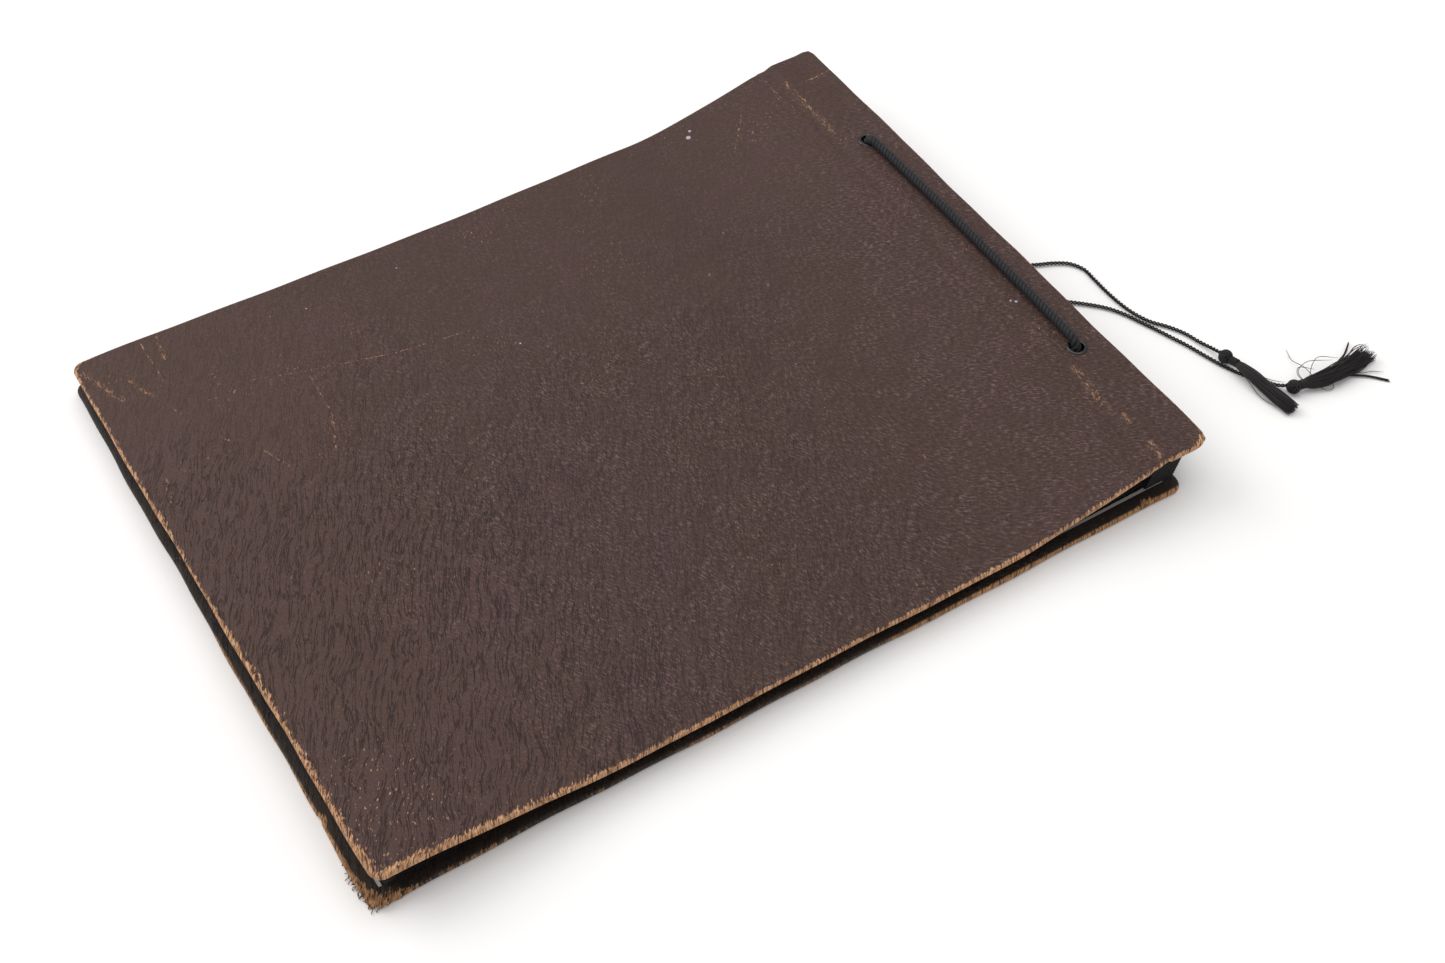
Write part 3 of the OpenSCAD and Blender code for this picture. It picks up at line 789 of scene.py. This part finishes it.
def wound_head(name, node, turns):
    """A ball of wound thread: circles of one radius, each tilted and turned a little further.

    The point is the unit circle at angle t, tilted by 62° + 24° sin(t / 5), then turned by 3 t / turns.
    """
    low, high = box_mm(node)
    centre, radius = (low + high) / 2, (high[0] - low[0]) / 2 - 0.38
    t = np.linspace(0, 2 * math.pi * turns, 44 * turns)
    tilt = np.radians(62 + 24 * np.sin(t / 5))
    x, y, z = np.cos(t), np.sin(t) * np.cos(tilt), np.sin(t) * np.sin(tilt)
    turn = t / turns * 3.0
    line = np.stack([x * np.cos(turn) - y * np.sin(turn), x * np.sin(turn) + y * np.cos(turn), z], -1)
    core = np.stack([line * radius, line * (radius - 0.55)])
    made = strands(name, core + centre, 0.40, line, thin_cord_dye, sides=6)
    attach(made, "binding")
    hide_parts(node)
    return made


def wound_neck(name, node, start, end, radius):
    """Thread wound round the neck: a helix of pitch 0.62 mm from start to end."""
    start, end = np.array(start), np.array(end)
    path = np.linspace(start, end, 150)
    coil = laid(path, 2, radius, 1.24, UPRIGHT)
    made = strands(name, coil, 0.34, UPRIGHT, tassel_dye, sides=6)
    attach(made, "binding")
    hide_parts(node)
    return made


def skirt_paths(route, widths, count, seed, wander, flat, ends):
    """Threads of a skirt: thread k keeps its place in a sunflower pattern, r = sqrt(k / count).

    The pattern follows the route, scaled by the width there and flattened upright. Each thread
    wanders by two sine waves that grow towards its end, and stops at its own length.
    """
    pick = np.random.default_rng(seed)
    k = np.arange(count)
    place = np.sqrt((k + 0.5) / count)
    angle = k * math.pi * (3 - math.sqrt(5))
    route = smooth_path(route, path_length(np.asarray(route, float)) / 26)
    along = unit(np.gradient(route, axis=0))
    side = unit(np.cross(along, UPRIGHT))
    up = np.cross(side, along)
    share = np.linspace(0, 1, len(route))
    width = np.interp(share, *zip(*widths))
    swing = [pick.uniform(-1, 1, (count, 1)) for unused in range(6)]
    wave = np.sin(share * (5 + 3 * swing[0]) + 6 * swing[1])
    lift = np.sin(share * (5 + 3 * swing[2]) + 6 * swing[3])
    grow = wander * share**1.4
    a = place[:, None] * np.cos(angle)[:, None] * width + wave * grow
    b = (place[:, None] * np.sin(angle)[:, None] * width + lift * grow) * flat
    paths = route + a[..., None] * side + b[..., None] * up
    reach = 1 - ends * (0.5 + 0.5 * swing[4]) ** 2
    cut = np.clip(share * reach, 0, 1) * (len(share) - 1)
    i = np.minimum(cut.astype(int), len(share) - 2)
    f = (cut - i)[..., None]
    rows = np.arange(count)[:, None]
    paths = paths[rows, i] * (1 - f) + paths[rows, i + 1] * f
    paths[..., 2] = np.maximum(paths[..., 2], 0.22)
    return paths


def thread_piece(name, paths, radius, nodes=()):
    """Threads that thin out over their last quarter."""
    share = np.linspace(0, 1, np.asarray(paths).shape[1])
    made = strands(name, paths, radius * (1 - 0.6 * ease((share - 0.75) / 0.25)), UPRIGHT,
        tassel_dye, sides=5)
    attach(made, "binding")
    if nodes:
        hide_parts(*nodes)
    return made


def lock_paths(route, count, seed, spread):
    """A few threads that leave together and part as they go: an offset that grows with the way."""
    pick = np.random.default_rng(seed)
    base = smooth_path(from_spine(route), path_length(np.asarray(route, float)) / 18)
    share = np.linspace(0, 1, len(base))[None, :, None]
    offset = pick.normal(0, 1, (count, 1, 3)) * [spread, spread, spread * 0.3]
    wave = pick.uniform(-1, 1, (count, 1, 3)) * np.sin(share * 9 + pick.uniform(0, 6, (count, 1, 1)))
    paths = base + offset * (0.35 + share) + 0.35 * spread * wave
    paths[..., 2] = np.maximum(paths[..., 2], 0.2)
    return paths


def add_tassel_1():
    """The neat tassel: a full skirt that lies over the other cord, then on the table."""
    head = wound_head("tassel_1_head", "tassel_head_1", 13)
    neck = wound_neck("tassel_1_neck", "tassel_wrap_1", from_spine([49.6, -99.4, 3.9]),
        from_spine([50, -102.9, 4.6]), 1.5)
    route = from_spine([[49.8, -101, 4.3], [50.3, -105.5, 4.7], [50.9, -110, 4.6],
        [51.9, -117, 3.4], [53.1, -125, 2.5], [54.3, -133, 2.0]])
    widths = [(0, 1.1), (0.12, 2.0), (0.35, 2.7), (0.75, 3.0), (1, 2.8)]
    skirt = thread_piece("tassel_1_skirt", skirt_paths(route, widths, 210, 3, 0.6, 0.66, 0.12),
        0.24, ["tassel_skirt_1"])
    hairs = [[[51.5, -106, 4.5], [54, -111, 3], [58.6, -115.4, 1], [62.8, -119.1, 0.5]],
        [[52, -109, 4], [55.6, -113.4, 2], [59.5, -118.6, 0.8], [61, -121, 0.6]],
        [[49.4, -107, 4], [48.9, -112, 2.4], [49, -119, 0.8], [51, -126.5, 0.5]]]
    loose = np.concatenate([lock_paths(h, 1, 20 + i, 0.2)[:, :18] for i, h in enumerate(hairs)])
    return [head, neck, skirt, thread_piece("tassel_1_loose_hairs", loose, 0.13)]


def add_tassel_2():
    """The frayed tassel: a rough skirt with a brush end, two stray locks and loose loops."""
    head = wound_head("tassel_2_head", "tassel_head_2", 13)
    neck = wound_neck("tassel_2_neck", "tassel_wrap_2", from_spine([64.4, -124.5, 3.2]),
        from_spine([67.2, -125, 3.1]), 1.7)
    route = from_spine([[65.6, -124.7, 3.1], [69.5, -125.6, 3.0], [76, -126.9, 3.0],
        [84, -127.1, 2.7], [93, -126.4, 2.1], [103, -124.6, 1.5]])
    widths = [(0, 1.4), (0.1, 2.8), (0.3, 3.5), (0.6, 3.5), (0.85, 2.9), (1, 2.4)]
    skirt = thread_piece("tassel_2_skirt", skirt_paths(route, widths, 260, 8, 2.3, 0.72, 0.46),
        0.23, ["tassel_skirt_2"])
    lock = lock_paths([[80, -127.6, 2], [86.4, -129.4, 1.2], [93.4, -133.9, 0.6],
        [99.6, -140.4, 0.4]], 12, 31, 0.34)
    wisp = lock_paths([[80, -125.6, 3], [85.4, -123.2, 2.4], [93, -120.4, 1.4],
        [99.8, -115.8, 0.5]], 8, 32, 0.4)
    stray = [[[72, -124, 4], [73.6, -117, 2.6], [73.2, -111, 1.2], [76.2, -104.2, 0.4]],
        [[67, -124, 4], [69.5, -118.5, 3], [76.5, -116, 2.4], [86, -121, 3]],
        [[70, -124, 4.4], [77, -118.2, 3.6], [82, -116.2, 2.6], [89, -120.5, 2]],
        [[66.5, -125, 4.4], [67.6, -119.6, 3.6], [71, -117, 3], [75, -122, 4]],
        [[71, -128, 2], [74, -131.2, 0.7], [76.6, -131.6, 0.5], [78, -128.6, 1.4]],
        [[88, -128.5, 2], [92.5, -131.4, 0.8], [97.4, -132.8, 0.5], [101, -135.6, 0.4]],
        [[86, -124.6, 3], [95, -121.6, 1.8], [101, -119.4, 1], [106.5, -120.8, 0.4]]]
    loose = np.concatenate([lock_paths(s, 1, 40 + i, 0.3)[:, :18] for i, s in enumerate(stray)])
    return [head, neck, skirt, thread_piece("tassel_2_lock", lock, 0.2),
        thread_piece("tassel_2_wisp", wisp, 0.18), thread_piece("tassel_2_loose_threads", loose, 0.14)]


tassels = [add_tassel_1(), add_tassel_2()]
for (piece, path), tassel in zip(tails, tassels):
    (path[0] * MM).tolist()
    path_length(path) * MM
    (path * MM).tolist()
    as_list(tassel)

# ---- front cover ----


def cover_top(x, y):
    """Height of the front cover's outer face.

    Its near edge curls up 8 mm at the fore-edge and its far edge 4.6 mm. Both sag in the middle and
    climb to the strip, which is level round the eyelets and rises to the spine edge.
    """
    u = x - fore_x
    v = (y + half_width) / (2 * half_width)
    near = 11.6 + 8.1 * (1 - ease(u / 105)) + 12.7 * ease((u - 262) / 94)
    far = 10.2 + 4.6 * (1 - ease(u / 170)) + 14.1 * ease((u - 258) / 98)
    strip = strip_top - 0.02 + 1.15 * ease((x - hole_x - 4.6) / 8.5)
    groove = 0.6 * bump((x - 154.5) / 3.6) + 0.25 * bump((x - 149.5) / 1.8)
    joined = ease((x - panel_x - 2) / 8)
    ripple = 0.28 * np.sin(x / 23 + y / 41) * np.sin(y / 27 + 1) * ease((150 - x) / 40)
    return (near + (far - near) * v + ripple) * (1 - joined) + strip * joined - groove


def below(drop):
    """Height of a layer that lies drop under the outer face, and less in the boardless crease."""
    def height(x, y):
        crease = ease((x - panel_x + 0.6) / 1.2) * (1 - ease((x - strip_x + 0.6) / 1.2))
        sunk = covering_thick + (drop - covering_thick) * (1 - 0.8 * crease)
        return cover_top(x, y) - (drop if drop <= covering_thick else sunk)
    return height


HOLES = [(hole_x, hole_y), (hole_x, -hole_y)]
hole_rows = [(hole_y - hole_half, hole_y + hole_half), (-hole_y - hole_half, hole_half - hole_y)]
hole_columns = [(hole_x - hole_half, hole_x + hole_half)]

# One cover's section, as (inset, depth): over the rim, in under the turned-in edge and back inside
RIM = [(1.1, 0), (0.55, 0.12), (0.18, 0.45), (0, 1.0), (0, 1.6), (0.18, 2.15), (0.55, 2.48),
    (1.1, 2.6), (3.4, 2.6), (turn_in, 2.6), (turn_in, 2.25), (1.3, 2.2), (0.7, 1.9), (0.5, 1.0),
    (0.8, 0.55), (1.4, 0.42)]
BOARD_RIM = [(1.5, 0.44), (0.85, 0.62), (0.75, 1.0), (0.85, 1.9), (1.5, 2.17)]
LINING_RIM = [(turn_in + 0.3, 2.24), (turn_in + 0.06, 2.3), (turn_in + 0.06, 2.54),
    (turn_in + 0.3, 2.6)]


def add_front_cover():
    """Covering and lining are each one sheet that bends in the crease; the two boards don't."""
    rows = grid_lines(-half_width, half_width, 2.2, corner_r, hole_rows)
    columns = grid_lines(fore_x, spine_x, 2.2, corner_r, hole_columns, (148.0, 162.0))
    whole = Outline(columns, rows, corner_r, 0.22)
    covering = wrapped("front_covering_sheet", whole, [(i, below(d)) for i, d in RIM], front_hide,
        HOLES)
    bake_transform(covering)
    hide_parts("front_covering", "front_strip_covering", "front_hinge_cloth")
    lining = wrapped("front_lining_sheet", whole, [(i, below(d)) for i, d in LINING_RIM],
        lining_paper, HOLES)
    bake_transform(lining)
    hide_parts("front_lining", "front_strip_lining")
    panel = Outline(grid_lines(fore_x, panel_x + 0.7, 5.0, corner_r),
        grid_lines(-half_width, half_width, 6.0, corner_r), corner_r)
    board = wrapped("front_board_panel", panel, [(i, below(d)) for i, d in BOARD_RIM], board_stock)
    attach(board, "front_cover")
    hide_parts("front_board")
    narrow = Outline(grid_lines(strip_x - 0.7, spine_x, 2.2, 2.0, hole_columns), rows, 2.0)
    strip = wrapped("front_strip_board_bar", narrow, [(i, below(d)) for i, d in BOARD_RIM],
        board_stock, HOLES)
    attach(strip, "binding")
    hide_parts("front_strip_board")


add_front_cover()

# ---- back cover ----

BACK_CENTRE = np.array([(back_low[0] + back_high[0]) / 2, 0.4])
BACK_YAW = math.radians(-0.4)

# How deep the cord's channel and the eyelets' recesses press in, and where the squeeze ends
channel_depth = 1.78
recess_depth = 2.05
squeezed_height = 2.15


def turned(x, y, angle):
    """A place turned about the back cover's centre."""
    dx, dy = x - BACK_CENTRE[0], y - BACK_CENTRE[1]
    return (BACK_CENTRE[0] + dx * math.cos(angle) - dy * math.sin(angle),
        BACK_CENTRE[1] + dx * math.sin(angle) + dy * math.cos(angle))


def cord_trough(x, y):
    """How far the thin cord has pressed the back cover's outer face in, before it is turned."""
    x, y = turned(x, y, BACK_YAW)
    run = np.hypot(x - back_hole_x, np.maximum(np.abs(y) - hole_y, 0))
    branch = np.hypot(np.minimum(x - back_hole_x, 0), np.maximum(np.abs(y - knot_y) - 0.9, 0))
    pits = [np.hypot(x - back_hole_x, y - side * hole_y) for side in (-1, 1)]
    groove = channel_depth * (1 - ease((np.minimum(run, branch) - 1.1) / 1.6))
    return np.maximum(groove, recess_depth * (1 - ease((np.minimum(*pits) - 4.3) / 1.2)))


def above(rise):
    """Height of a layer of the back cover, which the trough squeezes from below."""
    return lambda x, y: rise + cord_trough(x, y) * max(0.0, 1 - rise / squeezed_height)


def crushed(points):
    """Turns the back cover, and swells and folds its near fore corner into a ragged stub."""
    x, y, z = points[..., 0], points[..., 1], points[..., 2]
    away = np.hypot(x - back_low[0] - 3, y - back_low[1] - 3)
    near = bump(away / 15)
    rim = np.clip(1 - np.minimum(x - back_low[0], y - back_low[1]) / 7, 0, 1)
    folds = np.sin(2.1 * x - 1.6 * y) + 0.6 * np.sin(3.4 * x + 2.2 * y + 1)
    x = x + near * rim * (0.1 + 0.35 * folds)
    y = y + near * rim * (0.35 * folds - 0.3)
    z = z * (1 + 0.12 * near * rim * folds) + 0.35 * near * rim * np.minimum(z, 1)
    nick = bump((y - notch_y) / 2.2) * np.clip(1 - (x - back_low[0]) / 3, 0, 1)
    x = x + 0.8 * nick
    x, y = turned(x, y, BACK_YAW)
    return np.stack([x, y, np.maximum(z, 0.0)], -1)


def add_back_cover():
    """The back cover's covering, board and lining, each turned and dented alike."""
    centres = [turned(back_hole_x, side * hole_y, -BACK_YAW) for side in (1, -1)]
    rows_kept = [(y - hole_half, y + hole_half) for unused, y in centres]
    middle_x = (centres[0][0] + centres[1][0]) / 2
    kept = [(min(c[0] for c in centres) - hole_half, max(c[0] for c in centres) + hole_half)]
    rows = grid_lines(back_low[1], back_high[1], 2.4, corner_r, rows_kept)
    columns = grid_lines(back_low[0], back_high[0], 2.4, corner_r, kept)
    holes = [(middle_x, y) for unused, y in centres]
    outline = Outline(columns, rows, corner_r, 0.3)
    for name, rim, paint, node, slot in (
            ("back_covering_sheet", RIM, back_hide, "back_covering", "back_leatherette"),
            ("back_board_panel", BOARD_RIM, board_stock, "back_board", "board"),
            ("back_lining_sheet", LINING_RIM, back_paper, "back_lining", "lining_paper")):
        made = wrapped(name, outline, [(i, above(d)) for i, d in rim], paint, holes, False, crushed)
        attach(made, "binding")
        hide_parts(node)


def add_corner_fray():
    """Threads that stand out of the crushed corner: short bent arcs, outwards and down.

    Each one starts at a share of the way along the rim, up the fore-edge and round the corner, and
    runs outwards with a sine bend while it sinks to the table.
    """
    pick = np.random.default_rng(12)
    count = 52
    x0, y0 = back_low[0], back_low[1]
    rim = np.array([[x0, y0 + 22], [x0, y0 + 8], [x0 + 1.2, y0 + 2.6], [x0 + 4, y0 + 0.6], [x0 + 16, y0]])
    facing = np.array([[-1, 0.1], [-1, -0.2], [-0.8, -0.6], [-0.4, -1], [0.1, -1]])
    share = np.concatenate([pick.uniform(0.3, 2.3, count - 20), pick.uniform(0, 4, 20)])
    knots = np.arange(5)
    root = np.stack([np.interp(share, knots, rim[:, k]) for k in (0, 1)], -1)
    out = np.stack([np.interp(share, knots, facing[:, k]) for k in (0, 1)], -1)
    out = out + pick.normal(0, 0.45, (count, 2))
    length = pick.uniform(0.5, 2.3, (count, 1, 1))
    t = np.linspace(0, 1, 11)[None, :, None]
    bend = pick.normal(0, 0.8, (count, 1, 2)) * np.sin(math.pi * t * pick.uniform(0.7, 1.6, (count, 1, 1)))
    flat = root[:, None] - 0.8 * out[:, None] + out[:, None] * length * t + bend
    x, y = turned(flat[..., 0], flat[..., 1], BACK_YAW)
    height = pick.uniform(0.6, 2.4, (count, 1)) * (1 - t[..., 0]) + 0.22
    made = strands("frayed_corner_threads", np.stack([x, y, height], -1), 0.16, UPRIGHT,
        frayed_dye, sides=5)
    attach(made, "binding")


add_back_cover()
add_corner_fray()

# ---- eyelets ----

eyelet_sides = 48
clinch_r = 3.88


def revolved(name, section, centre, up, material):
    """A closed section of (radius, height) points turned about an upright line."""
    section = np.asarray(section, float)
    angle = 2 * math.pi * np.arange(eyelet_sides) / eyelet_sides
    ring = np.stack([np.cos(angle), np.sin(angle)], -1)
    x = centre[0] + section[:, None, 0] * ring[None, :, 0]
    y = centre[1] + section[:, None, 0] * ring[None, :, 1]
    z = np.broadcast_to(centre[2] + up * section[:, None, 1], x.shape)
    number = np.arange(x.size).reshape(x.shape)
    quads = np.stack([number, np.roll(number, -1, 1), np.roll(np.roll(number, -1, 1), -1, 0),
        np.roll(number, -1, 0)], -1).reshape(-1, 4)
    if up < 0:
        quads = quads[:, ::-1]
    return add_piece(name, np.stack([x, y, z], -1).reshape(-1, 3), quads.tolist(), material,
        math.radians(60))


def eyelet_section(depth):
    """Rolled flange, barrel of the given depth and turned-over end, outer side first."""
    roll = [(flange_r, 0.02), (flange_r - 0.06, 0.2), (flange_r - 0.3, 0.4), (3.5, 0.48),
        (3.1, 0.45), (2.86, 0.3), (bore_r, 0.05)]
    barrel = [(bore_r, -depth / 2), (bore_r, -depth - 0.28), (3.5, -depth - 0.3),
        (clinch_r, -depth - 0.2), (clinch_r, -depth - 0.06), (barrel_r, -depth - 0.02),
        (barrel_r, -0.02), (flange_r - 0.1, -0.02)]
    return roll + barrel


def add_eyelets():
    """Two eyelets in the front strip and two, head down, in the back cover."""
    front_depth = strip_top - eyelet_low[2] - 0.3
    back_flange = back_eyelet_low[2] + 0.3
    for side, label in ((1, "far"), (-1, "near")):
        front = revolved(f"front_eyelet_{label}", eyelet_section(front_depth),
            (hole_x, side * hole_y, strip_top), 1, eyelet_enamel)
        back = revolved(f"back_eyelet_{label}", eyelet_section(cover_thick - back_flange),
            (back_hole_x, side * hole_y, back_flange), -1, eyelet_enamel)
        for made, node in ((front, "front_eyelets"), (back, "back_eyelets")):
            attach(made, "binding")
            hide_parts(node)


add_eyelets()

# ---- leaves ----

leaf_crease = 12.0
binding_reach = 6.0
binding_margin = 7.8
spacer_thick = 0.7
leaf_thick = 0.3
binding_pitch = 1.08

# How far the leaves stop short at each end, so that the lining's pale edge shows: worn paper with a
# painted highlight
edge_shows = 1.8


def add_leaf(number):
    """One sheet of black paper: level binding edge, a bend in its crease, then the bowed page.

    The page's height is a fixed share of the way from the back cover up to the front cover's
    inner face, so no leaf meets the next, and it eases to the binding edge over the crease.
    """
    k = number - 1
    node = f"leaf_{number:02d}"
    low, high = box_mm(node)
    start_x, end_x = high[0], high[0] + leaf_crease
    share = (leaf_count - 0.5 - k) / leaf_count
    edge_height = stack_low[2] + (leaf_count - number) * binding_pitch + spacer_thick + leaf_thick / 2
    centre_x = end_x + binding_reach

    def paper(offset):
        def height(x, y):
            roof = below(cover_thick)(np.minimum(x, panel_x), y)
            page = cover_thick + 0.05 + share * (roof - cover_thick - 0.1)
            bent = ease((x - start_x) / leaf_crease)
            return page * (1 - bent) + edge_height * bent + offset
        return height

    trim = 0.7 * math.sin(2.4 * number)
    columns = grid_lines(low[0] + trim, centre_x + binding_margin + 0.5 * math.sin(3.7 * number),
        7.0, 0.6, [(centre_x - hole_half, centre_x + hole_half)], (start_x - 1, end_x + 1))
    half = high[1] - edge_shows + 0.4 * math.sin(5.1 * number)
    rows = grid_lines(-half, half, 9.0, 0.6, hole_rows)
    rim = [(0.1, 0.11), (0, 0.05), (0, -0.05), (0.1, -0.11)]
    made = wrapped(f"album_leaf_{number:02d}", Outline(columns, rows, 0.6, 0.12),
        [(i, paper(z)) for i, z in rim], leaf_paper,
        [(centre_x, hole_y), (centre_x, -hole_y)])
    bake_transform(made)
    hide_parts(node, "leaf_binding_edges", "leaf_creases")


for number in range(1, leaf_count + 1):
    add_leaf(number)

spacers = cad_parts["leaf_spacers"]
spacers.data.materials.clear()
spacers.data.materials.append(spacer_card)

# ---- table and light ----

table_half = 3000
table_lines = 13
table_drop = 0.3


def add_table():
    """A level table, a hair under the album, made of a few broad cells."""
    line = np.linspace(-table_half, table_half, table_lines)
    x, y = np.meshgrid(line, line, indexing="ij")
    points = np.stack([x, y, np.full_like(x, -table_drop)], -1).reshape(-1, 3)
    numbers = np.arange(x.size).reshape(x.shape)
    table = add_piece("table", points, cells(numbers).reshape(-1, 4).tolist(), table_paint)


def add_area_light(name, place, size, power, colour):
    """A square light that faces the middle of the album."""
    light = bpy.data.lights.new(name, "AREA")
    light.shape = "SQUARE"
    light.size = size
    light.energy = power
    light.color = colour
    made = bpy.data.objects.new(name, light)
    made.location = place
    made.rotation_mode = "QUATERNION"
    made.rotation_quaternion = (-Vector(place)).to_track_quat("-Z", "Y")
    bpy.context.scene.collection.objects.link(made)


def add_light():
    """An even pale sky, with broad windows behind and to the left of the album."""
    world = bpy.data.worlds.new("studio")
    world.use_nodes = True
    sky = world.node_tree.nodes["Background"]
    sky.inputs["Color"].default_value = (1.0, 0.995, 0.99, 1.0)
    sky.inputs["Strength"].default_value = 0.64
    bpy.context.scene.world = world
    add_area_light("window", (-0.9, 1.5, 1.4), 1.5, 24, (1.0, 0.99, 0.98))
    add_area_light("ceiling", (0.3, 0.2, 1.9), 1.6, 13, (1.0, 1.0, 1.0))


add_table()
add_light()
bpy.context.scene.view_settings.view_transform = "Standard"
